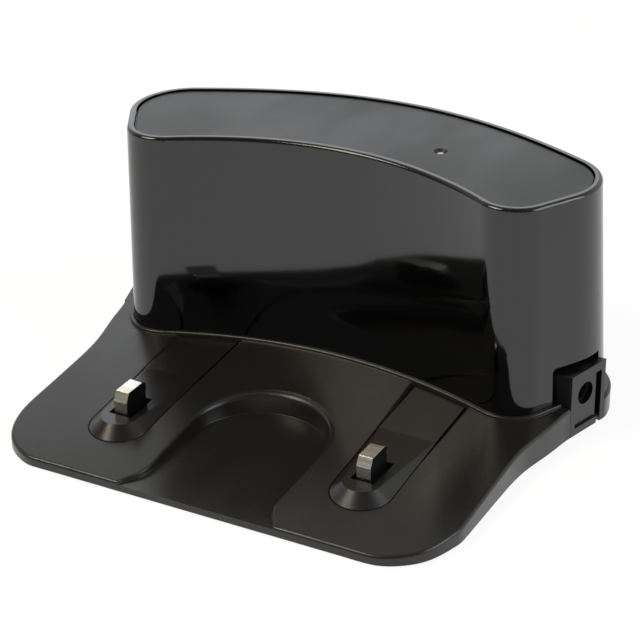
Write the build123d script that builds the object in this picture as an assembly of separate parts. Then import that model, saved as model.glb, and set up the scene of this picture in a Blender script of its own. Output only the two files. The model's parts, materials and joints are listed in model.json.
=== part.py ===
"""Charging dock for a robot vacuum, in millimetres.

X runs to the right, Y to the back, Z up. Shapes are drawn with the middle of the tower's
front rim over X = Y = 0 and the base's underside at Z = 0. save() then moves every piece so
that the dock stands centred on the origin with its feet on Z = 0.
"""
import math
import os

from build123d import *

# Tower, seen from above
TOWER_HEIGHT = 81.0          # underside of the base to the top rim
FRONT_HALF = 67.0            # half width at the sharp front corner of the top outline
BACK_HALF = 91.2             # half width at the sharp back corner of the top outline
TOWER_DEPTH = 48.0           # front to back on the middle line, at the top
FRONT_HOLLOW = 24.5          # how far the front corners come forward of the middle, at the top
BACK_BULGE = 30.2            # how far the back corners stay forward of the middle
FRONT_CORNER = 13.0          # radius of the front corners
BACK_CORNER = 20.4           # radius of the back corners
FOOT_LEVEL = 12.0            # height at which the foot outline is drawn
FOOT_FORWARD = 9.4           # the front wall's middle stands this much further forward there
FOOT_HOLLOW = 12.2           # hollow of the front wall at the foot
FOOT_SPREAD = 3.8            # ends and back stand this much further out at the foot
TOWER_WALL = 2.4
TOWER_ROOF = 2.2
RIM_WIDTH = 2.3
RIM_ROUND = 1.2
PANEL_POCKET = 2.0           # depth of the pocket in the roof for the top panel
PANEL_THICK = 1.4
PANEL_GAP = 0.45

# Base
BASE_FRONT = 96.8            # middle of the tower's front rim to the base's front edge
LOBE_HALF = 78.1             # half width over the two lobes
END_HALF = BACK_HALF - 2.0   # half width at the tower's ends
FRONT_EDGE = 3.1             # height of the base's front edge
MID_SLOPE = 0.098            # rise per mm to the back, on the middle line
SIDE_SLOPE = 0.083           # rise per mm to the back, at the tower's ends
BACK_MARGIN = 2.6            # base beyond the tower at the back
REAR_TURN = 12.0             # the base's rear corner arc starts at this many degrees from X
REAR_LEDGE = 7.0             # height of the ledge behind the inlet
LEDGE_START = 9.4            # the ramp stops and the ledge starts here
LIP_HEIGHT = 1.0
LIP_WIDTH = 1.4
BASE_WALL = 2.2
BASE_ROOF = 1.8
EDGE_ROUND = 1.0
POCKET_FLOOR = 6.0           # the tower's wall stands on this level
POCKET_PLATE = 2.0
POCKET_SHELF = 6.0           # how far the shelf under the tower's wall reaches inward
FIT_GAP = 0.15

# Recess for the robot's front wheel
RECESS_RADIUS = 21.9
RECESS_BACK = 59.5           # centre of the recess's round end, from the front rim's middle
RECESS_FLOOR = 2.2
RECESS_DRAFT = 0.24          # outward lean of the recess's wall per mm of height
RECESS_FLARE = 5.6           # each side opens by this much at the front edge
RECESS_ROUND = 0.30          # rounding of its upper edge, as a share of the wall's height
RECESS_WALL = 2.0

# Contact strips
STRIP_X = 43.2
STRIP_HALF = 9.9
STRIP_FRONT = 70.5           # centre of the strip's round front end
STRIP_GAP = 0.25
PLATEAU = 8.7
CREASE = 40.6
STRIP_RISE = 0.053           # slope of the strip behind the crease
FLANK = 0.84                 # slope of the strip's flanks
STRIP_ROOF = 1.8

# Sprung contacts
SLOT_HALF = 4.0
SLOT_FRONT = 70.6
SLOT_BACK = 57.6
CONTACT_FRONT = 69.8
CONTACT_BACK = 58.4
CONTACT_TOP = 16.0
CONTACT_WIDTH = 4.7
PLATE_THICK = 0.3
PRESS = 2.0                  # travel of a contact

# Inlet
INLET_A = (BACK_HALF - 7.0, -6.3)  # front end of the inlet frame's face, on the base's outline
INLET_LENGTH = 17.4
INLET_HEIGHT = 22.0
INLET_TURN = 16.0            # the face turns this many degrees away from the Y axis
INLET_ROOM = 14.2            # depth kept free behind the face
INLET_HOLE = 7.6
INLET_HOLE_AT = (8.2, 13.0)  # along the face, and up

# Underside
FOOT_PROUD = 0.5
COVER_THICK = 1.2
COVER_UP = 0.3

Z_LOW = -2.0
PARTS = "parts"
os.makedirs(PARTS, exist_ok=True)


def back_shape(u):
    return 1.152 * u * u - 0.152 * u ** 4


def tower_level(z):
    """Share of the way from the foot outline (0) to the top outline (1)."""
    return (z - FOOT_LEVEL) / (TOWER_HEIGHT - FOOT_LEVEL)


def tower_curves(z):
    t = tower_level(z)
    y_front = -FOOT_FORWARD * (1 - t)
    hollow = FOOT_HOLLOW + (FRONT_HOLLOW - FOOT_HOLLOW) * t
    spread = FOOT_SPREAD * (1 - t)

    def front(x):
        return y_front - hollow * (x / FRONT_HALF) ** 2

    def back(x):
        return TOWER_DEPTH + spread - BACK_BULGE * back_shape(x / BACK_HALF)

    end_front = (FRONT_HALF + spread, front(FRONT_HALF))
    end_back = (BACK_HALF + spread, back(BACK_HALF))
    return front, back, end_front, end_back


def slope_of(curve, x):
    return (curve(x + 0.01) - curve(x - 0.01)) / 0.02


def shifted(curve, x, distance):
    """Point of the curve moved along its upward normal."""
    m = slope_of(curve, x)
    k = math.hypot(1, m)
    return x - distance * m / k, curve(x) + distance / k


def corner(curve, p, q, radius, up, wall):
    """Centre and ends of the corner between a curve and the line p-q, after an inset."""
    length = math.hypot(q[0] - p[0], q[1] - p[1])
    t = ((q[0] - p[0]) / length, (q[1] - p[1]) / length)
    n = (t[1], -t[0])

    def miss(x):
        c = shifted(curve, x, up * (radius + wall))
        return (c[0] - p[0]) * n[0] + (c[1] - p[1]) * n[1] + radius + wall

    low, high = 20.0, q[0] + 15.0
    for _ in range(60):
        mid = (low + high) / 2
        if miss(mid) > 0:
            high = mid
        else:
            low = mid
    c = shifted(curve, low, up * (radius + wall))
    on_curve = shifted(curve, low, up * wall)
    on_line = (c[0] + n[0] * radius, c[1] + n[1] * radius)
    return c, on_curve, on_line, low


def arc_between(c, a, b, radius):
    """Middle point of the arc a-b about c."""
    mx, my = (a[0] + b[0]) / 2 - c[0], (a[1] + b[1]) / 2 - c[1]
    k = radius / math.hypot(mx, my)
    return c[0] + mx * k, c[1] + my * k


def tower_face(z, inset=0.0):
    """Outline of the tower at a height, moved inward by the inset (outward if negative)."""
    front, back, p, q = tower_curves(z)
    r_front = FRONT_CORNER - inset
    r_back = BACK_CORNER - inset
    cf, f_curve, f_line, xf = corner(front, p, q, r_front, 1, inset)
    cb, b_curve, b_line, xb = corner(back, p, q, r_back, -1, inset)
    fm = arc_between(cf, f_curve, f_line, r_front)
    bm = arc_between(cb, b_line, b_curve, r_back)

    def flip(v):
        return -v[0], v[1]

    steps = 8
    front_points = [shifted(front, xf * (i / steps * 2 - 1), inset) for i in range(steps + 1)]
    back_points = [shifted(back, xb * (1 - i / steps * 2), -inset) for i in range(steps + 1)]
    mf, mb = slope_of(front, xf), slope_of(back, xb)
    edges = [
        Edge.make_spline([(*v, z) for v in front_points], tangents=[(1, -mf, 0), (1, mf, 0)]),
        Edge.make_three_point_arc((*f_curve, z), (*fm, z), (*f_line, z)),
        Edge.make_line((*f_line, z), (*b_line, z)),
        Edge.make_three_point_arc((*b_line, z), (*bm, z), (*b_curve, z)),
        Edge.make_spline([(*v, z) for v in back_points], tangents=[(-1, -mb, 0), (-1, mb, 0)]),
        Edge.make_three_point_arc((*flip(b_curve), z), (*flip(bm), z), (*flip(b_line), z)),
        Edge.make_line((*flip(b_line), z), (*flip(f_line), z)),
        Edge.make_three_point_arc((*flip(f_line), z), (*flip(fm), z), (*flip(f_curve), z)),
    ]
    return Wire(edges)


def tower_solid(z0, z1, inset=0.0):
    return Solid.make_loft([tower_face(z0, inset), tower_face(z1, inset)], ruled=True)


def box(x0, x1, y0, y1, z0, z1):
    return Pos((x0 + x1) / 2, (y0 + y1) / 2, (z0 + z1) / 2) * Box(x1 - x0, y1 - y0, z1 - z0)


def rod(x, y, z0, z1, radius):
    return Pos(x, y, (z0 + z1) / 2) * Cylinder(radius, z1 - z0)


def mirrored(shape):
    return mirror(shape, about=Plane.YZ)


def inlet_dir():
    a = math.radians(INLET_TURN)
    return (math.sin(a), math.cos(a)), (math.cos(a), -math.sin(a))


def inlet_point(along, out=0.0):
    t, n = inlet_dir()
    return (INLET_A[0] + t[0] * along + n[0] * out, INLET_A[1] + t[1] * along + n[1] * out)


def moved_in(edge, distance):
    """Edge of a level outline moved to its left, which is inward on these outlines."""
    steps = {GeomType.LINE: 1, GeomType.CIRCLE: 2}.get(edge.geom_type, 24)
    points = []
    for i in range(steps + 1):
        p, t = edge.position_at(i / steps), edge.tangent_at(i / steps)
        points.append((p.X - t.Y * distance, p.Y + t.X * distance, p.Z))
    if steps == 1:
        return Edge.make_line(*points)
    if steps == 2:
        return Edge.make_three_point_arc(*points)
    return Edge.make_spline(points, tangents=[edge.tangent_at(0), edge.tangent_at(1)])


def base_side_points():
    """Right side of the base's outline, front corner to back corner."""
    drawn_half, drawn_front, drawn_swell = 78.1, 96.8, 6.1
    kx, ky = LOBE_HALF / drawn_half, BASE_FRONT / drawn_front
    ks = (INLET_A[0] - LOBE_HALF) / drawn_swell
    corner_points = [(50 * kx, -BASE_FRONT), (62.8 * kx, -95.9 * ky), (68.9 * kx, -92.4 * ky),
                     (73.9 * kx, -86.6 * ky), (77.2 * kx, -78.0 * ky), (LOBE_HALF, -66 * ky)]
    side = [(LOBE_HALF, -66 * ky), (LOBE_HALF + 0.1 * ks, -48 * ky),
            (LOBE_HALF + 1.2 * ks, -30 * ky), (LOBE_HALF + 4.0 * ks, -17.2 * ky), INLET_A]
    end = inlet_point(INLET_LENGTH)
    return corner_points, side, end


def base_face(inset=0.0):
    """Outline of the base; at the back it follows the tower's foot at a distance."""
    corner_points, side, end = base_side_points()
    t, n = inlet_dir()
    _, back, p, q = tower_curves(FOOT_LEVEL)
    centre, _, _, x_end = corner(back, p, q, BACK_CORNER, -1, 0.0)
    mb = slope_of(back, x_end)
    radius = BACK_CORNER + BACK_MARGIN

    def on_arc(angle):
        return centre[0] + radius * math.cos(angle), centre[1] + radius * math.sin(angle)

    start, stop = math.radians(REAR_TURN), math.atan2(1, -mb)
    arc = [on_arc(start), on_arc((start + stop) / 2), on_arc(stop)]
    after_end = (-math.sin(start), math.cos(start))
    rear = [shifted(back, x_end * (1 - i / 4), BACK_MARGIN) for i in range(9)]

    def flip(points):
        return [(-x, y) for x, y in reversed(points)]

    def spline(points, a, b):
        return Edge.make_spline([(*v, 0) for v in points], tangents=[(*a, 0), (*b, 0)])

    def bow(points):
        return Edge.make_three_point_arc(*[(*v, 0) for v in points])

    edges = [
        Edge.make_line((-corner_points[0][0], -BASE_FRONT, 0), (corner_points[0][0], -BASE_FRONT, 0)),
        spline(corner_points, (1, 0), (0, 1)),
        spline(side, (0, 1), t),
        Edge.make_line((*INLET_A, 0), (*end, 0)),
        spline([end, arc[0]], t, after_end),
        bow(arc),
        spline(rear, (-1, -mb), (-1, mb)),
        bow(flip(arc)),
        spline(flip([end, arc[0]]), (after_end[0], -after_end[1]), (t[0], -t[1])),
        Edge.make_line((-end[0], end[1], 0), (-INLET_A[0], INLET_A[1], 0)),
        spline(flip(side), (t[0], -t[1]), (0, -1)),
        spline(flip(corner_points), (0, -1), (1, 0)),
    ]
    if inset:
        edges = [moved_in(edge, inset) for edge in edges]
    return Face(Wire(edges))


def ramp_height(x, y):
    """Height of the base's top surface."""
    run = y + BASE_FRONT
    drop = (MID_SLOPE - SIDE_SLOPE) * run * (x / END_HALF) ** 2
    return FRONT_EDGE + MID_SLOPE * run - drop


def below_ramp(lift=0.0):
    """Everything under the top surface, moved up or down."""
    def section(y):
        w = END_HALF + 12
        z_mid, z_side = ramp_height(0, y) + lift, ramp_height(w, y) + lift
        if z_mid - z_side < 0.02:
            z_side = z_mid - 0.02
        top = Edge.make_three_point_arc((w, y, z_side), (0, y, z_mid), (-w, y, z_side))
        return Wire([top, Edge.make_line((-w, y, z_side), (-w, y, Z_LOW - 8)),
                     Edge.make_line((-w, y, Z_LOW - 8), (w, y, Z_LOW - 8)),
                     Edge.make_line((w, y, Z_LOW - 8), (w, y, z_side))])

    return Solid.make_loft([section(-BASE_FRONT - 2), section(TOWER_DEPTH + 20)], ruled=True)


def recess_path(grow=0.0):
    """Points of the recess's outline with outward directions, right front to left front."""
    r = RECESS_RADIUS + grow
    y_flare = -BASE_FRONT + 13.0
    path = []
    for y, out in ((-BASE_FRONT - 8, 1.0), (-BASE_FRONT - 3, 1.0), (-BASE_FRONT, 0.96),
                   (-BASE_FRONT + 2.2, 0.78), (-BASE_FRONT + 4.4, 0.5), (-BASE_FRONT + 6.8, 0.22),
                   (-BASE_FRONT + 9.6, 0.05), (y_flare, 0.0)):
        lean = 0.0 if out in (0.0, 1.0) else 0.45
        k = math.hypot(1, lean)
        path.append((r + RECESS_FLARE * out, y, 1 / k, lean / k))
    for i in range(1, 4):
        path.append((r, y_flare + (-RECESS_BACK - y_flare) * i / 4, 1, 0))
    for i in range(13):
        a = math.pi / 2 * i / 12
        path.append((r * math.cos(a), -RECESS_BACK + r * math.sin(a), math.cos(a), math.sin(a)))
    return path + [(-x, y, -nx, ny) for x, y, nx, ny in reversed(path[:-1])]


def recess_ring(offset, height, grow=0.0):
    """Closed wire round the recess; offset and height are functions of a point's place."""
    points = []
    for x, y, nx, ny in recess_path(grow):
        d = offset(x, y)
        points.append((x + nx * d, y + ny * d, height(x, y)))
    return Wire([Edge.make_spline(points), Edge.make_line(points[-1], points[0])])


def recess_tool():
    """Drafted wall that turns over into the ramp with a round edge."""
    turn = math.pi / 2 - math.atan(RECESS_DRAFT)

    def wall(x, y):
        return max(ramp_height(x, y) - RECESS_FLOOR, 0.3)

    def ring(a, extra=0.0):
        def offset(x, y):
            h = wall(x, y)
            return h * (RECESS_DRAFT + RECESS_ROUND * (math.tan(turn / 2) - math.sin(a)))

        def height(x, y):
            h = wall(x, y)
            return RECESS_FLOOR + h - h * RECESS_ROUND * (1 - math.cos(a)) + extra

        return recess_ring(offset, height)

    top = recess_ring(lambda x, y: wall(x, y) * (RECESS_DRAFT + RECESS_ROUND * math.tan(turn / 2)),
                      lambda x, y: TOWER_HEIGHT / 3)
    floor = recess_ring(lambda x, y: 0.0, lambda x, y: RECESS_FLOOR)
    rings = [floor] + [ring(turn * k / 4, 0.02 if k == 0 else 0.0) for k in (4, 3, 2, 1, 0)] + [top]
    return Solid.make_loft(rings, ruled=True)


def recess_prism(grow, z0, z1):
    rings = [recess_ring(lambda x, y: 0.0, lambda x, y, z=z: z, grow) for z in (z0, z1)]
    return Solid.make_loft(rings, ruled=True)


def strip_face(half, y_back, z=0.0):
    """Outline of a strip: a round front end and straight sides."""
    y0 = -STRIP_FRONT
    with BuildLine() as line:
        ThreePointArc((-half, y0), (0, y0 - half), (half, y0))
        Line((half, y0), (half, y_back))
        Line((half, y_back), (-half, y_back))
        Line((-half, y_back), (-half, y0))
    return Pos(STRIP_X, 0, z) * Face(Wire(line.edges()))


def save(shape, name):
    """Write one piece in the dock's frame."""
    _, back, _, _ = tower_curves(FOOT_LEVEL)
    y_middle = (back(0.0) + BACK_MARGIN - BASE_FRONT) / 2
    solids = shape.solids()
    shape = solids[0] if len(solids) == 1 else Compound(children=list(solids))
    export_step(Pos(0, -y_middle, FOOT_PROUD) * shape, os.path.join(PARTS, name + ".step"))


def biggest(shape):
    return max(shape.solids(), key=lambda s: s.volume)


# Base top cover
def inlet_prism(grow=0.0, z0=0.0, z1=INLET_HEIGHT, depth=7.2):
    inner_x = INLET_A[0] - depth
    a, b = inlet_point(0, grow), inlet_point(INLET_LENGTH, grow)
    y0, y1 = a[1] - grow, b[1] + grow
    with BuildLine() as line:
        Polyline((a[0], y0), (b[0], y1), (inner_x, y1), (inner_x, y0), close=True)
    return Pos(0, 0, z0) * extrude(Face(Wire(line.edges())), amount=z1 - z0)


def strip_prism(half, y_back, z0, z1):
    return extrude(strip_face(half, y_back, z0), amount=z1 - z0)


def channel_edge(side, y0=-52.0, y1=-8.0, radius=2.3):
    """Tapered rounding along one edge of a strip's channel."""
    x_edge = STRIP_X + side * (STRIP_HALF + STRIP_GAP)

    def section(y, r):
        z = ramp_height(x_edge, y)
        q = math.sqrt(0.5)

        def at(u, v):
            return (x_edge + side * u, y, z + v)

        return Wire([
            Edge.make_three_point_arc(at(0, -r), at(r * (1 - q), -r * (1 - q)), at(r, 0)),
            Edge.make_line(at(r, 0), at(r, 0.8)), Edge.make_line(at(r, 0.8), at(-0.4, 0.8)),
            Edge.make_line(at(-0.4, 0.8), at(-0.4, -r)), Edge.make_line(at(-0.4, -r), at(0, -r))])

    return Solid.make_loft([section(y0, 0.12), section(y1, radius)], ruled=True)


front_at_foot, back_at_foot, _, _ = tower_curves(FOOT_LEVEL)
SCREW_INSET = 5.6
TOWER_SCREWS = [(s * 40.0, y) for s in (-1, 1)
                for y in (front_at_foot(40.0) + SCREW_INSET, back_at_foot(40.0) - SCREW_INSET)]
COVER_SCREWS = [(s * x, y) for s in (-1, 1)
                for x, y in ((LOBE_HALF - 12.1, -56.0), (END_HALF - 17.2, 4.0))]
FEET = [(s * x, y) for s in (-1, 1)
        for x, y in ((LOBE_HALF - 20.1, -82.0), (END_HALF - 29.2, 24.0))]

outline = extrude(base_face(), amount=40)
cover = outline & below_ramp()
seam = INLET_A[1]
lobes = cover & box(-120, 120, -120, seam, -1, 60)
upper = [e for e in lobes.faces().sort_by(Axis.Z)[-1].edges() if e.center().Y < seam - 0.1]
lobes = fillet(upper, EDGE_ROUND)
stern = cover & box(-120, 120, seam, 90, -1, 60)
stern = stern - box(-120, 120, LEDGE_START, 90, REAR_LEDGE, 60)
cover = lobes + stern
cover = cover - recess_tool()

keep = recess_prism(RECESS_WALL, -3, 40)
cavity = extrude(Pos(0, 0, -1) * base_face(BASE_WALL), amount=40) & below_ramp(-BASE_ROOF)
cavity = cavity - box(-120, 120, LEDGE_START - BASE_ROOF, 90, REAR_LEDGE - BASE_ROOF, 60) - keep
cover = cover - cavity

lip_out = -(FIT_GAP + LIP_WIDTH)
lip = tower_solid(POCKET_FLOOR - POCKET_PLATE, 30, lip_out) & below_ramp(LIP_HEIGHT)
lip = lip - box(-120, 120, LEDGE_START, 90, REAR_LEDGE + LIP_HEIGHT, 60)
lip = lip & outline
lip = fillet(lip.faces().sort_by(Axis.Z)[-1].edges(), LIP_HEIGHT * 0.5)

for side in (1, -1):
    slot = strip_prism(STRIP_HALF + STRIP_GAP, 0.0, -1, 30) + channel_edge(1) + channel_edge(-1)
    cover = cover - (slot if side > 0 else mirrored(slot))
cover = cover + lip
cover = cover - tower_solid(POCKET_FLOOR, 40, -FIT_GAP)
cover = cover - tower_solid(POCKET_FLOOR - POCKET_PLATE - 1, POCKET_FLOOR + 1, POCKET_SHELF)
for x, y in TOWER_SCREWS:
    cover = cover + rod(x, y, POCKET_FLOOR - POCKET_PLATE, POCKET_FLOOR, 4.2)
for x, y in COVER_SCREWS:
    roof = min(ramp_height(x, y), REAR_LEDGE if y > LEDGE_START else 99) - BASE_ROOF / 2
    if y < LEDGE_START - 20:
        cover = cover + rod(x, y, COVER_UP + COVER_THICK, roof, 2.8)
    else:
        cover = cover + rod(x, y, COVER_UP + COVER_THICK, POCKET_FLOOR - POCKET_PLATE / 2, 2.8)
cover = cover - inlet_prism(FIT_GAP, -1, 40, INLET_ROOM)
for x, y in TOWER_SCREWS:
    cover = cover - rod(x, y, 0, 20, 1.5)
for x, y in COVER_SCREWS:
    cover = cover - rod(x, y, 0, 4.6, 1.12)
base_cover = biggest(cover)
save(base_cover, "base_top_cover")

# Bottom cover, feet and its screws
plate = extrude(Pos(0, 0, COVER_UP) * base_face(BASE_WALL + 0.25), amount=COVER_THICK)
plate = plate - recess_prism(RECESS_WALL + FIT_GAP, -3, 10)
plate = plate - inlet_prism(FIT_GAP, -3, 10, 8.2)
for x, y in COVER_SCREWS:
    plate = plate - rod(x, y, 0, 3, 1.3) - Pos(x, y, COVER_UP + 0.45) * Cone(2.5, 1.3, 0.9)
for x, y in FEET:
    plate = plate - rod(x, y, 0, COVER_UP + 0.5, 6.0)
save(biggest(plate), "base_bottom_cover")

for (x, y), name in zip(FEET, ("front_left", "rear_left", "front_right", "rear_right")):
    foot = rod(x, y, -FOOT_PROUD, COVER_UP + 0.5, 6.0)
    foot = fillet(foot.edges().group_by(Axis.Z)[0], 0.25)
    save(foot, "rubber_foot_" + name)


def screw(x, y, head_low, head_r, head_h, top, shank_r, flat):
    if flat:
        head = Pos(x, y, head_low + head_h / 2) * Cone(head_r, shank_r, head_h)
    else:
        head = rod(x, y, head_low, head_low + head_h, head_r)
    body = head + rod(x, y, head_low + head_h / 2, top, shank_r)
    cross = box(x - head_r * 0.55, x + head_r * 0.55, y - 0.3, y + 0.3, head_low - 1, head_low + 0.45)
    return body - cross - Pos(x, y, 0) * Rot(0, 0, 90) * Pos(-x, -y, 0) * cross


for (x, y), name in zip(COVER_SCREWS, ("front_left", "rear_left", "front_right", "rear_right")):
    save(screw(x, y, COVER_UP, 2.5, 0.9, 4.4, 1.1, True), "cover_screw_" + name)

SHELF_LOW = POCKET_FLOOR - POCKET_PLATE
FRAME_TOP = POCKET_FLOOR + 2.0
for (x, y), name in zip(TOWER_SCREWS, ("front_left", "rear_left", "front_right", "rear_right")):
    save(screw(x, y, SHELF_LOW - 1.5, 2.8, 1.5, FRAME_TOP + 10, 1.4, False), "tower_screw_" + name)


# Contact strips, blocks, plates, springs and terminals
def ramp_tilted(shape):
    """Lay a shape drawn on a level plane onto the ramp under the strip."""
    x = STRIP_X
    angle = math.degrees(math.atan(ramp_height(x, 1 - BASE_FRONT) - ramp_height(x, -BASE_FRONT)))
    return Pos(0, -BASE_FRONT, FRONT_EDGE) * Rot(angle, 0, 0) * Pos(0, BASE_FRONT, 0) * shape


def below_plane(y0, z0, slope, x0=0.0, x1=90.0, y_far=60.0):
    with BuildLine() as line:
        Polyline((-120, z0 + slope * (-120 - y0)), (y_far, z0 + slope * (y_far - y0)),
                 (y_far, -20), (-120, -20), close=True)
    face = Plane.YZ * Face(Wire(line.edges()))
    return Pos(x0, 0, 0) * extrude(face, amount=x1 - x0, dir=(1, 0, 0))


PLATEAU_LOW = PLATEAU - STRIP_ROOF
flank = 6.0
lower = strip_face(STRIP_HALF + 0.2 / FLANK, 30, -0.2).outer_wire()
upper = strip_face(STRIP_HALF - flank, 30, flank * FLANK).outer_wire()
hill = ramp_tilted(Solid.make_loft([lower, upper], ruled=True))
hill = hill + ramp_tilted(strip_prism(STRIP_HALF + 0.1, 30, -8, -0.15))
front_part = hill & box(0, 90, -120, -CREASE, COVER_UP + COVER_THICK + 0.5, PLATEAU)
rear_part = strip_prism(STRIP_HALF, 0, COVER_UP + COVER_THICK + 0.5, 30)
rear_part = rear_part & below_plane(-CREASE, PLATEAU, STRIP_RISE)
rear_part = rear_part & box(0, 90, -CREASE, 40, -1, 40)
strip = (front_part & strip_prism(STRIP_HALF, 0, -1, 30)) + rear_part
ledge = strip_prism(STRIP_HALF + 1.6, 0, COVER_UP + COVER_THICK + 0.5, 30)
ledge = ledge & below_ramp(-BASE_ROOF - 0.05)
strip = strip + (ledge & box(0, 90, -STRIP_FRONT - 11, 0, 0, PLATEAU_LOW))
strip = strip - tower_solid(-2, 40, lip_out - STRIP_GAP)
strip = strip - strip_prism(6.2, 0, -1, PLATEAU_LOW)
strip = strip - box(STRIP_X - 8, STRIP_X + 8, -50, 0, -1, PLATEAU_LOW)
strip = strip - box(STRIP_X - SLOT_HALF, STRIP_X + SLOT_HALF, -SLOT_FRONT, -SLOT_BACK, 0, 30)
strip = strip - recess_prism(RECESS_WALL + FIT_GAP, -3, 40)
strip = biggest(strip)

GUIDE = 4.8
REST = PLATEAU_LOW - 0.02
inner = dict(front=CONTACT_FRONT - PLATE_THICK, back=CONTACT_BACK + PLATE_THICK,
             top=CONTACT_TOP - PLATE_THICK)
bend_z, bend_y, tail_round = 13.0, 1.5, 1.9


def yz_prism(edges, width):
    face = Face(Wire(edges))
    return Pos(STRIP_X - width / 2, 0, 0) * extrude(face, amount=width, dir=(1, 0, 0))


def yz(points):
    return [(0, p[0], p[1]) for p in points]


def path_edges(points):
    p = yz(points)
    return [Edge.make_line(p[i], p[i + 1]) for i in range(len(p) - 1)]


yf, yb, zt = -inner["front"], -inner["back"], inner["top"]
q = tail_round * math.sqrt(0.5)
flange_low = REST - 1.2
block_edges = path_edges([(yb, REST), (yf, REST), (yf, bend_z), (yf + bend_y, zt), (yb - tail_round, zt)])
block_edges += [Edge.make_three_point_arc(*yz([(yb - tail_round, zt),
                                               (yb - tail_round + q, zt - tail_round + q),
                                               (yb, zt - tail_round)]))]
block_edges += path_edges([(yb, zt - tail_round), (yb, REST)])
block = yz_prism(block_edges, CONTACT_WIDTH - 0.4)
block = block + box(STRIP_X - GUIDE, STRIP_X + GUIDE, -SLOT_FRONT - 1.2, -SLOT_BACK + 1.2,
                    flange_low, REST)
block = block + box(STRIP_X - 0.8, STRIP_X + 0.8, yb - 0.1, yb + 0.75, 10.0, 11.2)

tp = PLATE_THICK
d = math.hypot(bend_y, zt - bend_z)
nx, nz = -(zt - bend_z) / d, bend_y / d
oy, oz = yf + tp * nx, bend_z + tp * nz
run = bend_y / (zt - bend_z)
knee_z = oz + (yf - tp - oy) / run
knee_y = oy + (zt + tp - oz) * run
ro = tail_round + tp
qo = ro * math.sqrt(0.5)
low = flange_low - tp
pad_end = yb - 0.6
plate_edges = path_edges([(pad_end, low), (yf - tp, low), (yf - tp, knee_z), (knee_y, zt + tp),
                          (yb - tail_round, zt + tp)])
plate_edges += [Edge.make_three_point_arc(*yz([(yb - tail_round, zt + tp),
                                               (yb - tail_round + qo, zt - tail_round + qo),
                                               (yb + tp, zt - tail_round)]))]
plate_edges += path_edges([(yb + tp, zt - tail_round), (yb + tp, zt - tail_round - 1.3),
                           (yb, zt - tail_round - 1.3), (yb, zt - tail_round)])
plate_edges += [Edge.make_three_point_arc(*yz([(yb, zt - tail_round),
                                               (yb - tail_round + q, zt - tail_round + q),
                                               (yb - tail_round, zt)]))]
plate_edges += path_edges([(yb - tail_round, zt), (yf + bend_y, zt), (yf, bend_z), (yf, flange_low),
                           (pad_end, flange_low), (pad_end, low)])
metal = yz_prism(plate_edges, CONTACT_WIDTH)
block = block - box(STRIP_X - CONTACT_WIDTH / 2 - 0.05, STRIP_X + CONTACT_WIDTH / 2 + 0.05,
                    yf - tp - 0.05, yf, 0, REST + 0.01)
block = biggest(block)

SPRING_R, SPRING_WIRE = 2.1, 0.35
PAD_TOP = COVER_UP + COVER_THICK + 0.3
spring_y = -(SLOT_FRONT + SLOT_BACK) / 2
spring_low, spring_high = PAD_TOP, low


def coil(x, y, z0, z1, radius, wire, turns, flat=0.75):
    """Compression spring whose end turns lie flat."""
    steps = int(turns * 14)
    points = []
    for i in range(steps + 1):
        turn = turns * i / steps
        share = min(max((turn - flat) / (turns - 2 * flat), 0.0), 1.0)
        a = 2 * math.pi * turn
        z = z0 + wire / 2 + (z1 - z0 - wire) * share
        points.append((x + radius * math.cos(a), y + radius * math.sin(a), z))
    return tube(points, wire / 2)


def tube(points, radius):
    line = Edge.make_spline(points)
    section = Plane(origin=line.position_at(0), z_dir=line.tangent_at(0)) * Circle(radius)
    return sweep(section, path=line)


spring = coil(STRIP_X, spring_y, spring_low, spring_high, SPRING_R, SPRING_WIRE, 4.0)

pad = box(STRIP_X - 3.2, STRIP_X + 3.2, spring_y - 3.4, spring_y + 3.4, COVER_UP + COVER_THICK, PAD_TOP)
pad = pad + box(STRIP_X - 1.6, STRIP_X + 1.6, spring_y + 3.0, spring_y + 9.0, COVER_UP + COVER_THICK,
                PAD_TOP)
pad = pad + box(STRIP_X - 1.6, STRIP_X + 1.6, spring_y + 8.6, spring_y + 9.0, COVER_UP + COVER_THICK,
                PAD_TOP + 1.4)


BOARD_Y, BOARD_THICK = 16.2, 1.6
lead = tube([(STRIP_X, spring_y + 9.0, PAD_TOP + 0.8), (STRIP_X - 1, -45, 2.9), (STRIP_X - 5, -30, 2.9),
             (STRIP_X - 6.8, -16, 2.9), (STRIP_X - 8.7, -6, 2.9), (STRIP_X - 10.2, 2, 4.4),
             (STRIP_X - 12.2, 8, 10.0), (STRIP_X - 15, BOARD_Y - 2.4, 15.0),
             (STRIP_X - 16, BOARD_Y + 0.5, 17.0)], 0.75)
lead = lead - box(0, 90, BOARD_Y, 60, 0, 60) - pad

for shape, name in ((strip, "contact_strip"), (block, "contact_block"), (metal, "contact_plate"),
                    (spring, "contact_spring"), (pad, "contact_terminal"), (lead, "contact_lead")):
    save(shape, name + "_right")
    save(mirrored(shape), name + "_left")

# Tower shell
ROOF_TOP = TOWER_HEIGHT - PANEL_POCKET
ROOF_LOW = ROOF_TOP - TOWER_ROOF
shell = tower_solid(POCKET_FLOOR, TOWER_HEIGHT)
shell = fillet(shell.faces().sort_by(Axis.Z)[-1].edges(), RIM_ROUND)
shell = shell - tower_solid(POCKET_FLOOR - 1, ROOF_LOW, TOWER_WALL)
shell = shell - tower_solid(ROOF_TOP, TOWER_HEIGHT + 1, RIM_WIDTH)
for x, y in TOWER_SCREWS:
    boss = rod(x, y, FRAME_TOP, FRAME_TOP + 16, 3.3)
    y_wall = front_at_foot(40.0) + 1.6 if y < 15 else back_at_foot(40.0) - 3.4
    rib = box(x - 0.9, x + 0.9, min(y, y_wall), max(y, y_wall), FRAME_TOP, FRAME_TOP + 15)
    shell = shell + (boss + rib)
    shell = shell - rod(x, y, 0, FRAME_TOP + 12, 1.42)
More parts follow.
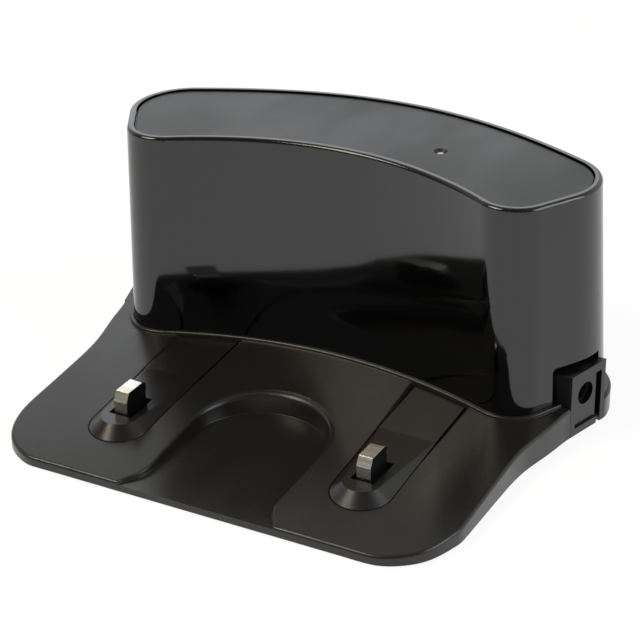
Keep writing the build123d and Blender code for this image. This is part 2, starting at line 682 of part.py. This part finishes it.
opening_top = INLET_HEIGHT + 2.2
opening = box(INLET_A[0] - INLET_ROOM, END_HALF + 21, INLET_A[1] - 1.6,
              inlet_point(INLET_LENGTH)[1] + 0.4, 0, opening_top)
corner_edge = opening.edges().filter_by(Axis.X).sort_by(lambda e: e.center().Z - e.center().Y)[-1]
opening = fillet([corner_edge], 1.4)
shell = shell - opening
LENS = (27.7, 14.7)
shell = shell - rod(*LENS, ROOF_LOW - 1, TOWER_HEIGHT, 1.4)
shell = biggest(shell)
save(shell, "tower_shell")

panel_top = ROOF_TOP + PANEL_THICK
panel = tower_solid(ROOF_TOP, panel_top, RIM_WIDTH + PANEL_GAP)
panel = fillet(panel.faces().sort_by(Axis.Z)[-1].edges(), 0.35)
panel = panel - Pos(*LENS, panel_top - 0.45) * Cone(1.4, 2.4, 1.0)
panel = panel - rod(*LENS, ROOF_LOW, TOWER_HEIGHT + 1, 1.4)
save(panel, "tower_top_panel")

# Indicator: lens, light pipe and lamp
LAMP_TOP = ROOF_LOW - 10.8
lens = rod(*LENS, LAMP_TOP, panel_top - 0.75, 1.3) + rod(*LENS, ROOF_LOW - 1.4, ROOF_LOW, 2.3)
lens = fillet(lens.edges().group_by(Axis.Z)[-1], 0.5)
save(lens, "indicator_lens")
lamp = box(LENS[0] - 1.6, LENS[0] + 1.6, BOARD_Y - 3.0, BOARD_Y, LAMP_TOP - 2.6, LAMP_TOP)
save(lamp, "indicator_lamp")

# Frame inside the tower, on the shelf, clamped under the shell's bosses
frame = tower_solid(POCKET_FLOOR, FRAME_TOP, TOWER_WALL + 0.4)
frame = frame - tower_solid(POCKET_FLOOR - 1, FRAME_TOP + 1, 11.5)
frame = frame + box(-50, -43, front_at_foot(46) + 6, back_at_foot(46) - 6, POCKET_FLOOR, FRAME_TOP)
frame = frame + box(43, 50, front_at_foot(46) + 6, back_at_foot(46) - 6, POCKET_FLOOR, FRAME_TOP)
BOARD_LOW, BOARD_TOP, BOARD_HALF = 12.0, ROOF_LOW - 9.8, 46.4
IR_Y, IR_TOP = 9.0, ROOF_LOW - 6.8
IR_LOW = IR_TOP - 12.0
for side in (-1, 1):
    post = box(44.6, 48.8, BOARD_Y - 2.2, BOARD_Y + 4.2, POCKET_FLOOR, BOARD_TOP - 1.0)
    post = post - box(40, BOARD_HALF, BOARD_Y, BOARD_Y + BOARD_THICK, BOARD_LOW, TOWER_HEIGHT)
    arm = box(30.0, 46.0, IR_Y + 1.2, BOARD_Y - 0.2, IR_LOW, IR_LOW + 4)
    post = post + arm
    frame = frame + (post if side > 0 else mirrored(post))
frame = frame - box(INLET_A[0] - INLET_ROOM, END_HALF + 21, INLET_A[1] - 1.6,
                    inlet_point(INLET_LENGTH)[1] + 2.0, 0, 40)
for x, y in TOWER_SCREWS:
    frame = frame - rod(x, y, 0, FRAME_TOP + 1, 1.5)
save(biggest(frame), "inner_frame")

# Circuit boards and their parts
board = box(-BOARD_HALF, BOARD_HALF, BOARD_Y, BOARD_Y + BOARD_THICK, BOARD_LOW, BOARD_TOP)
board = board - box(-20, 20, BOARD_Y - 1, BOARD_Y + 3, IR_LOW - 6, TOWER_HEIGHT)
save(board, "main_board")
cap = Pos(-26, BOARD_Y - 5.5, 34) * Rot(90, 0, 0) * Cylinder(4.0, 11)
save(fillet(cap.edges().group_by(Axis.Y)[0], 0.6), "capacitor")
save(box(-6, 6, BOARD_Y - 7, BOARD_Y, 24, 36), "inductor")
save(box(12, 22, BOARD_Y - 1.4, BOARD_Y, 36, 44), "control_chip")
connector = box(24, 40, BOARD_Y - 6, BOARD_Y, 19.5, 26)
save(connector, "lead_connector")

ir_board = box(-32, 32, IR_Y, IR_Y + 1.2, IR_LOW, IR_TOP)
save(ir_board, "beacon_board")
baffle = box(-33, 33, IR_Y - 4.5, IR_Y, IR_LOW + 1, IR_TOP - 1)
for x in (-24.0, 0.0, 24.0):
    baffle = baffle - Pos(x, IR_Y - 2, (IR_LOW + IR_TOP) / 2) * Rot(90, 0, 0) * Cylinder(2.6, 10)
save(baffle, "beacon_baffle")
for x, name in ((-24.0, "left"), (0.0, "middle"), (24.0, "right")):
    lamp = Pos(x, IR_Y - 2.4, (IR_LOW + IR_TOP) / 2) * Rot(90, 0, 0) * Cylinder(2.45, 4.8)
    lamp = lamp + Pos(x, IR_Y - 4.8, (IR_LOW + IR_TOP) / 2) * Sphere(2.45)
    save(lamp & box(x - 4, x + 4, IR_Y - 8, IR_Y, IR_LOW - 8, TOWER_HEIGHT), "beacon_lamp_" + name)

# Inlet
PLATE_LEFT, PLATE_RIGHT = 2.2, 13.6
WINDOW_RIGHT = 15.4
PLATE_LOW, PLATE_TOP = 2.5, 19.0
FACE_BACK, FACE_THICK = 0.8, 2.0


def inlet_box(a0, a1, depth0, depth1, z0, z1):
    """Box set out along the inlet's face; depth counts inward from the face."""
    t, n = inlet_dir()
    x, y = inlet_point((a0 + a1) / 2, -(depth0 + depth1) / 2)
    shape = Box(a1 - a0, depth1 - depth0, z1 - z0)
    return Pos(x, y, (z0 + z1) / 2) * Rot(0, 0, 90 - INLET_TURN) * shape


housing = inlet_prism()
housing = housing - inlet_box(PLATE_LEFT, WINDOW_RIGHT, -3, 6.2, PLATE_LOW, PLATE_TOP)
housing = housing - inlet_box(PLATE_RIGHT, WINDOW_RIGHT, -3, 3.4, -1, PLATE_LOW + 1)
inner_cut = box(INLET_A[0] - INLET_ROOM, INLET_A[0] - 1.6, INLET_A[1] + 1.8,
                inlet_point(INLET_LENGTH)[1] - 1.8, PLATE_LOW, PLATE_TOP)
jack_front = FACE_BACK + FACE_THICK
jack = inlet_box(INLET_HOLE_AT[0] - 5, INLET_HOLE_AT[0] + 5, jack_front, jack_front + 12.5, 7.6, 18.4)
housing = housing - inner_cut
housing = housing - inlet_box(INLET_HOLE_AT[0] - 5.1, INLET_HOLE_AT[0] + 5.1, 1, 30, 7.5, 18.5)
housing = biggest(housing)
save(housing, "inlet_frame")
t_dir, n_dir = inlet_dir()


def along_inlet(radius, depth0, depth1, z=INLET_HOLE_AT[1]):
    x, y = inlet_point(INLET_HOLE_AT[0], -(depth0 + depth1) / 2)
    plane = Plane(origin=(x, y, z), z_dir=(n_dir[0], n_dir[1], 0))
    return plane * Cylinder(radius, depth1 - depth0)


face_plate = inlet_box(PLATE_LEFT, PLATE_RIGHT, FACE_BACK, FACE_BACK + FACE_THICK, PLATE_LOW, PLATE_TOP)
face_plate = face_plate - along_inlet(INLET_HOLE / 2, -2, 8)
save(face_plate, "inlet_face_plate")

jack = jack - along_inlet(3.0, jack_front - 1, jack_front + 10)
save(jack, "inlet_socket")
pin = along_inlet(1.0, jack_front + 2.0, jack_front + 10.0)
pin = fillet(pin.edges().sort_by(Axis.X)[-1:], 0.4)
save(pin, "inlet_pin")
jx, jy = inlet_point(INLET_HOLE_AT[0], -(jack_front + 12.5))
for dz, name in ((-2.5, "negative"), (2.5, "positive")):
    z = INLET_HOLE_AT[1] + dz
    wire = tube([(jx + 0.6, jy, z), (jx - 5, jy + 1, z + 1), (58, 9.0, 19 + dz * 0.7),
                 (48, 8.8, 21 + dz * 0.5), (39.0, BOARD_Y - 3, 22.7 + dz * 0.4)], 0.8)
    save(wire - jack - connector, "inlet_lead_" + name)

print("pieces:", len(os.listdir(PARTS)))
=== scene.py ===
"""Studio scene of the charging dock: materials, floor, lamps and the photo's camera."""
import json
import math

import bpy
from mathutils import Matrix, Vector


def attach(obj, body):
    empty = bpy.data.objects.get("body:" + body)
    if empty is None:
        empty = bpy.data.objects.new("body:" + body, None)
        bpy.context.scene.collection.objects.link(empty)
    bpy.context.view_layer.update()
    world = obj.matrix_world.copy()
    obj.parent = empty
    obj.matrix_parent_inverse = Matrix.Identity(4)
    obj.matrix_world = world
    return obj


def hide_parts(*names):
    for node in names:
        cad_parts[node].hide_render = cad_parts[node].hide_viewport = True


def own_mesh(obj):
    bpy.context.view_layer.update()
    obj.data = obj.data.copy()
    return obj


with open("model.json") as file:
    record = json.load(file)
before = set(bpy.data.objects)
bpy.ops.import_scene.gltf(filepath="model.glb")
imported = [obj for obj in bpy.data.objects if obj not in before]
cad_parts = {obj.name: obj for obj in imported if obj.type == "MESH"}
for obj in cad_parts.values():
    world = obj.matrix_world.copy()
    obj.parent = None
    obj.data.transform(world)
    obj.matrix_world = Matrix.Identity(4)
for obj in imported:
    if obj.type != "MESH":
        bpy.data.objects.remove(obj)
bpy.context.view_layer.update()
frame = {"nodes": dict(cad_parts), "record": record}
nodes = frame["nodes"]

MM = 0.001

# Camera, solved from the photograph. The image is taken as 640 by 640.
IMAGE_SIZE = 640
FOCAL_PIXELS = 1900
IMAGE_CENTRE = (388.5, 308.7)
CAMERA_AZIMUTH = math.radians(26.73)
CAMERA_ELEVATION = math.radians(27.22)
CAMERA_DISTANCE = 0.68243
CAMERA_TARGET = Vector((-0.00686, 0.06741, 0.00178))
CAMERA_NEAREST = 0.01
SENSOR = 36.0

# Looks of the solids
SMOOTH_ANGLE = math.radians(32)
EDGE_SAMPLES = 6
WALL_LEAN = math.radians(3.0)
RIM_BAND = (0.2, 0.4)           # upward part of a normal where a wall turns into a rim
NOISE_SPAN = (0.3, 0.7)         # most of a noise texture's values
SHEEN_SPREAD = 0.05
HAZE_SPREAD = 0.03
METAL_SPREAD = 0.1
METAL_SHADE = 0.85
FROST_SHADE = 0.9
GLOSS_IOR = 1.62
GLOSS_SPECK = (0.06, 0.06, 0.06)
DUST = (0.048, 0.045, 0.041)
RUBBER_DUST_GAIN = 1.6
RUBBER_DUST_LIFT = 0.01

# Floor and surroundings
FLOOR_HALF = 4.0
FLOOR_WHITE = 0.86
SHADOW_SHARE = 0.15
FLOOR_GLOW = 1.06
WORLD_LIGHT = 0.4
BACKDROP = 0.8
CEILING = 0.4
CEILING_BAND = (0.45, 0.85)     # upward part of a direction, from backdrop to ceiling
ROOM_FRONT = 0.3
ROOM_BAND = (-0.35, 0.15)       # rearward part of a direction, from room to backdrop


class Nodes:
    """Short calls for building the node tree of a material or of the world."""

    def __init__(self, name, world=False):
        owner = bpy.data.worlds.new(name) if world else bpy.data.materials.new(name)
        owner.use_nodes = True
        self.owner = owner
        self.tree = owner.node_tree
        self.tree.nodes.clear()
        self.output = self.add("ShaderNodeOutputWorld" if world else "ShaderNodeOutputMaterial")

    def add(self, kind, **settings):
        node = self.tree.nodes.new(kind)
        for key, value in settings.items():
            setattr(node, key, value)
        return node

    def link(self, source, target):
        self.tree.links.new(source, target)

    def feed(self, value, socket):
        """Put a number into a socket, or link an output to it."""
        if isinstance(value, (int, float)):
            socket.default_value = value
        else:
            self.link(value, socket)

    def position(self):
        return self.add("ShaderNodeTexCoord").outputs["Object"]

    def split(self, vector):
        node = self.add("ShaderNodeSeparateXYZ")
        self.link(vector, node.inputs[0])
        return node.outputs

    def stretched(self, x, y, z):
        mapping = self.add("ShaderNodeMapping")
        mapping.inputs["Scale"].default_value = (x, y, z)
        self.link(self.position(), mapping.inputs["Vector"])
        return mapping.outputs["Vector"]

    def noise(self, scale, detail=2.0, roughness=0.5, vector=None):
        node = self.add("ShaderNodeTexNoise")
        node.inputs["Scale"].default_value = scale
        node.inputs["Detail"].default_value = detail
        node.inputs["Roughness"].default_value = roughness
        self.link(vector or self.position(), node.inputs["Vector"])
        return node.outputs["Fac"]

    def cells(self, scale):
        node = self.add("ShaderNodeTexVoronoi")
        node.inputs["Scale"].default_value = scale
        self.link(self.position(), node.inputs["Vector"])
        return node.outputs["Distance"]

    def ranged(self, value, low, high, to_low=0, to_high=1):
        node = self.add("ShaderNodeMapRange")
        node.interpolation_type = "SMOOTHSTEP"
        sockets = ("From Min", "From Max", "To Min", "To Max")
        for socket, number in zip(sockets, (low, high, to_low, to_high)):
            node.inputs[socket].default_value = number
        self.link(value, node.inputs["Value"])
        return node.outputs["Result"]

    def math(self, operation, a, b=0):
        node = self.add("ShaderNodeMath", operation=operation)
        self.feed(a, node.inputs[0])
        self.feed(b, node.inputs[1])
        return node.outputs["Value"]

    def mixed(self, factor, a, b):
        """Colour between a and b; both are RGB triples."""
        node = self.add("ShaderNodeMix", data_type="RGBA")
        self.link(factor, node.inputs["Factor"])
        node.inputs["A"].default_value = (*a, 1)
        node.inputs["B"].default_value = (*b, 1)
        return node.outputs["Result"]

    def bump(self, height, depth, strength=1.0, normal=None):
        node = self.add("ShaderNodeBump")
        node.inputs["Distance"].default_value = depth
        node.inputs["Strength"].default_value = strength
        self.link(height, node.inputs["Height"])
        if normal:
            self.link(normal, node.inputs["Normal"])
        return node.outputs["Normal"]

    def upright(self, normal, lean):
        """Shading normal of a wall that leans evenly; rims and level faces keep their own."""
        x, y, z = self.split(normal)
        squares = self.math("ADD", self.math("MULTIPLY", x, x), self.math("MULTIPLY", y, y))
        wall = self.math("MULTIPLY", self.math("SQRT", squares), math.tan(lean))
        own = self.ranged(z, *RIM_BAND)
        shift = self.math("MULTIPLY", own, self.math("SUBTRACT", z, wall))
        joined = self.add("ShaderNodeCombineXYZ")
        self.link(x, joined.inputs[0])
        self.link(y, joined.inputs[1])
        self.link(self.math("ADD", wall, shift), joined.inputs[2])
        unit = self.add("ShaderNodeVectorMath", operation="NORMALIZE")
        self.link(joined.outputs[0], unit.inputs[0])
        return unit.outputs[0]

    def soft_edges(self, radius):
        node = self.add("ShaderNodeBevel", samples=EDGE_SAMPLES)
        node.inputs["Radius"].default_value = radius
        return node.outputs["Normal"]

    def principled(self, color, roughness, normal, **numbers):
        node = self.add("ShaderNodeBsdfPrincipled")
        self.link(color, node.inputs["Base Color"])
        self.feed(roughness, node.inputs["Roughness"])
        self.link(normal, node.inputs["Normal"])
        for key, value in numbers.items():
            node.inputs[key].default_value = value
        self.link(node.outputs["BSDF"], self.output.inputs["Surface"])


def satin_plastic(name, dark, dusty, rough, edge, grain=0.014 * MM, ior=1.5):
    """Moulded black plastic with a fine grain, faint dust and slightly uneven sheen."""
    m = Nodes(name)
    dust = m.ranged(m.noise(scale=700, detail=6, roughness=0.7), 0.58, 0.80)
    cloud = m.ranged(m.noise(scale=26, detail=4, roughness=0.55), 0.35, 0.7)
    amount = m.math("MULTIPLY", dust, m.math("ADD", m.math("MULTIPLY", cloud, 0.7), 0.1))
    smears = m.noise(scale=30, detail=5, roughness=0.6, vector=m.stretched(1.0, 0.45, 1.0))
    sheen = m.ranged(smears, *NOISE_SPAN, rough - SHEEN_SPREAD, rough + SHEEN_SPREAD)
    normal = m.bump(m.noise(scale=2600), grain, normal=m.soft_edges(edge))
    m.principled(m.mixed(amount, dark, dusty), sheen, normal, IOR=ior)
    return m.owner


def gloss_plastic(name, dark, rough, edge):
    """Polished black plastic: a few specks of dust and a trace of mould waviness."""
    m = Nodes(name)
    speck = m.ranged(m.cells(420), 0.035, 0.075, to_low=1, to_high=0)
    patch = m.ranged(m.noise(scale=60, detail=3, roughness=0.6), 0.56, 0.66)
    color = m.mixed(m.math("MULTIPLY", speck, patch), dark, GLOSS_SPECK)
    cloud = m.noise(scale=30, detail=4, roughness=0.6)
    haze = m.ranged(cloud, 0.35, 0.75, rough, rough + HAZE_SPREAD)
    even = m.upright(m.soft_edges(edge), WALL_LEAN)
    m.principled(color, haze, m.bump(m.noise(scale=18), 0.008 * MM, normal=even), IOR=GLOSS_IOR)
    return m.owner


def plated_metal(name):
    """Nickel strip, slightly yellowed, with fine rolling marks and small wear spots."""
    m = Nodes(name)
    marks = m.noise(scale=700, detail=3, vector=m.stretched(0.1, 1, 1))
    bands = m.ranged(m.noise(scale=420, vector=m.stretched(0.08, 1, 1)), 0.42, 0.62)
    color = m.mixed(bands, (0.90, 0.87, 0.81), (0.70, 0.64, 0.52))
    rough = m.ranged(marks, *NOISE_SPAN, to_low=0.20, to_high=0.30)
    normal = m.bump(marks, 0.002 * MM, strength=0.5, normal=m.soft_edges(0.2 * MM))
    m.principled(color, rough, normal, Metallic=1.0)
    return m.owner


def plain_metal(name, color, rough):
    m = Nodes(name)
    marks = m.noise(scale=1500, detail=4, roughness=0.6)
    tone = m.mixed(marks, tuple(c * METAL_SHADE for c in color), color)
    uneven = m.ranged(marks, *NOISE_SPAN, rough, rough + METAL_SPREAD)
    m.principled(tone, uneven, m.bump(marks, 0.004 * MM), Metallic=1.0)
    return m.owner


def rubber(name, color):
    m = Nodes(name)
    dust = m.ranged(m.noise(scale=900, detail=5, roughness=0.7), 0.5, 0.75)
    dusty = tuple(c * RUBBER_DUST_GAIN + RUBBER_DUST_LIFT for c in color)
    grain = m.bump(m.noise(scale=3500, detail=3), 0.02 * MM)
    m.principled(m.mixed(dust, color, dusty), 0.75, grain)
    return m.owner


def laminate(name):
    m = Nodes(name)
    weave = m.ranged(m.noise(scale=2200), 0.4, 0.6)
    tone = m.mixed(weave, (0.012, 0.085, 0.035), (0.018, 0.11, 0.045))
    m.principled(tone, 0.32, m.bump(m.noise(scale=2600), 0.01 * MM))
    return m.owner


def frosted(name, color):
    m = Nodes(name)
    shade = tuple(c * FROST_SHADE for c in color)
    tone = m.mixed(m.noise(scale=1200, detail=3), shade, color)
    m.principled(tone, 0.22, m.bump(m.noise(scale=2500), 0.004 * MM))
    return m.owner


MATERIALS = {
    "base_plastic": satin_plastic(
        "base_plastic", (0.0122, 0.0110, 0.0092), DUST, rough=0.27, edge=0.4 * MM),
    "strip_plastic": satin_plastic(
        "strip_plastic", (0.0108, 0.0097, 0.0082), DUST, rough=0.27, edge=0.4 * MM,
        grain=0.03 * MM),
    "tower_gloss": gloss_plastic(
        "tower_gloss", (0.0009, 0.0009, 0.0009), rough=0.06, edge=0.3 * MM),
    "panel_satin": satin_plastic(
        "panel_satin", (0.022, 0.0255, 0.027), (0.05, 0.05, 0.05), rough=0.40, edge=0.2 * MM,
        grain=0.010 * MM, ior=1.36),
    "black_plastic": satin_plastic(
        "black_plastic", (0.0042, 0.0045, 0.0050), (0.02, 0.02, 0.02), rough=0.26,
        edge=0.15 * MM, grain=0.006 * MM),
    "contact_metal": plated_metal("contact_metal"),
    "spring_steel": plain_metal("spring_steel", (0.62, 0.62, 0.62), rough=0.25),
    "terminal_brass": plain_metal("terminal_brass", (0.80, 0.62, 0.30), rough=0.25),
    "screw_steel": plain_metal("screw_steel", (0.55, 0.55, 0.56), rough=0.3),
    "foot_rubber": rubber("foot_rubber", (0.02, 0.02, 0.02)),
    "lead_red": rubber("lead_red", (0.35, 0.01, 0.01)),
    "lead_black": rubber("lead_black", (0.012, 0.012, 0.012)),
    "board_laminate": laminate("board_laminate"),
    "lens_clear": frosted("lens_clear", (0.55, 0.58, 0.62)),
    "lamp_dark": frosted("lamp_dark", (0.03, 0.01, 0.04)),
}

for part in frame["record"]["subparts"]:
    node = nodes[part["node"]]
    node.data.materials.clear()
    node.data.materials.append(MATERIALS[part["material_slot"]])
    node.data.shade_smooth()
    node.data.set_sharp_from_angle(angle=SMOOTH_ANGLE)

# Each contact spring is drawn by a copy with its own mesh, attached to the dock body; the
# original part is hidden
for side in ("left", "right"):
    solid = nodes["contact_spring_" + side]
    coil = bpy.data.objects.new("coil_" + side, solid.data.copy())
    coil.matrix_world = solid.matrix_world
    bpy.context.scene.collection.objects.link(coil)
    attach(coil, "dock")
    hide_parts("contact_spring_" + side)
    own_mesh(coil)


def floor_material():
    """Mostly white light where it is seen, so only part of a shadow shows on it."""
    m = Nodes("studio_floor")
    path = m.add("ShaderNodeLightPath")
    seen = m.math("MAXIMUM", path.outputs["Is Camera Ray"], path.outputs["Is Glossy Ray"])
    seen = m.math("MAXIMUM", seen, path.outputs["Is Transmission Ray"])
    diffuse = m.add("ShaderNodeBsdfDiffuse")
    diffuse.inputs["Color"].default_value = (FLOOR_WHITE, FLOOR_WHITE, FLOOR_WHITE, 1)
    glow = m.add("ShaderNodeEmission")
    glow.inputs["Strength"].default_value = FLOOR_GLOW
    mix = m.add("ShaderNodeMixShader")
    m.link(m.math("MULTIPLY", seen, 1 - SHADOW_SHARE), mix.inputs[0])
    m.link(diffuse.outputs[0], mix.inputs[1])
    m.link(glow.outputs[0], mix.inputs[2])
    m.link(mix.outputs[0], m.output.inputs["Surface"])
    return m.owner


floor_corners = [(FLOOR_HALF * x, FLOOR_HALF * y, 0)
                 for x, y in ((-1, -1), (1, -1), (1, 1), (-1, 1))]
floor_mesh = bpy.data.meshes.new("studio_floor")
floor_mesh.from_pydata(floor_corners, [], [(0, 1, 2, 3)])
floor = bpy.data.objects.new("studio_floor", floor_mesh)
floor.data.materials.append(floor_material())
bpy.context.scene.collection.objects.link(floor)


def studio_world():
    """White wherever it is seen; in reflections the ceiling and the room in front are darker."""
    m = Nodes("studio", world=True)
    path = m.add("ShaderNodeLightPath")
    _, depth, up = m.split(m.add("ShaderNodeTexCoord").outputs["Generated"])
    ceiling = m.ranged(up, *CEILING_BAND, BACKDROP, CEILING)
    mirrored = m.math("MULTIPLY", ceiling, m.ranged(depth, *ROOM_BAND, ROOM_FRONT, 1.0))
    extra = m.math("SUBTRACT", mirrored, WORLD_LIGHT)
    glossy = m.math("MULTIPLY", path.outputs["Is Glossy Ray"], extra)
    direct = m.math("MAXIMUM", path.outputs["Is Camera Ray"], path.outputs["Is Transmission Ray"])
    seen = m.math("ADD", glossy, m.math("MULTIPLY", direct, 1 - WORLD_LIGHT))
    background = m.add("ShaderNodeBackground")
    background.inputs["Color"].default_value = (1, 1, 1, 1)
    m.link(m.math("ADD", seen, WORLD_LIGHT), background.inputs["Strength"])
    m.link(background.outputs[0], m.output.inputs["Surface"])
    return m.owner


bpy.context.scene.world = studio_world()


def lamp(name, place, aim, size, power, color):
    data = bpy.data.lights.new(name, "AREA")
    data.shape = "RECTANGLE"
    data.size, data.size_y = size
    data.energy = power
    data.color = color
    obj = bpy.data.objects.new(name, data)
    obj.location = place
    obj.rotation_euler = (Vector(aim) - Vector(place)).to_track_quat("-Z", "Y").to_euler()
    bpy.context.scene.collection.objects.link(obj)


lamp("key", place=(-0.50, -0.44, 0.92), aim=(0, -0.05, 0.02), size=(0.5, 0.5), power=6.5,
     color=(1.0, 0.88, 0.72))
lamp("back", place=(-0.72, 1.08, 0.62), aim=(-0.03, -0.05, 0.01), size=(0.9, 0.7), power=1.7,
     color=(0.90, 0.96, 1.0))
lamp("side", place=(1.0, 0.1, 0.55), aim=(0, 0, 0.03), size=(0.6, 0.6), power=4.0,
     color=(0.92, 0.96, 1.0))

camera_data = bpy.data.cameras.new("camera")
camera_data.sensor_width = SENSOR
camera_data.lens = FOCAL_PIXELS / IMAGE_SIZE * SENSOR
camera_data.shift_x = (IMAGE_SIZE / 2 - IMAGE_CENTRE[0]) / IMAGE_SIZE
camera_data.shift_y = (IMAGE_CENTRE[1] - IMAGE_SIZE / 2) / IMAGE_SIZE
camera_data.clip_start = CAMERA_NEAREST
back = Vector((math.sin(CAMERA_AZIMUTH) * math.cos(CAMERA_ELEVATION),
               -math.cos(CAMERA_AZIMUTH) * math.cos(CAMERA_ELEVATION),
               math.sin(CAMERA_ELEVATION)))
camera = bpy.data.objects.new("camera", camera_data)
camera.location = CAMERA_TARGET + back * CAMERA_DISTANCE
camera.rotation_euler = (-back).to_track_quat("-Z", "Y").to_euler()
bpy.context.scene.collection.objects.link(camera)
bpy.context.scene.camera = camera
bpy.context.scene.view_settings.view_transform = "Standard"
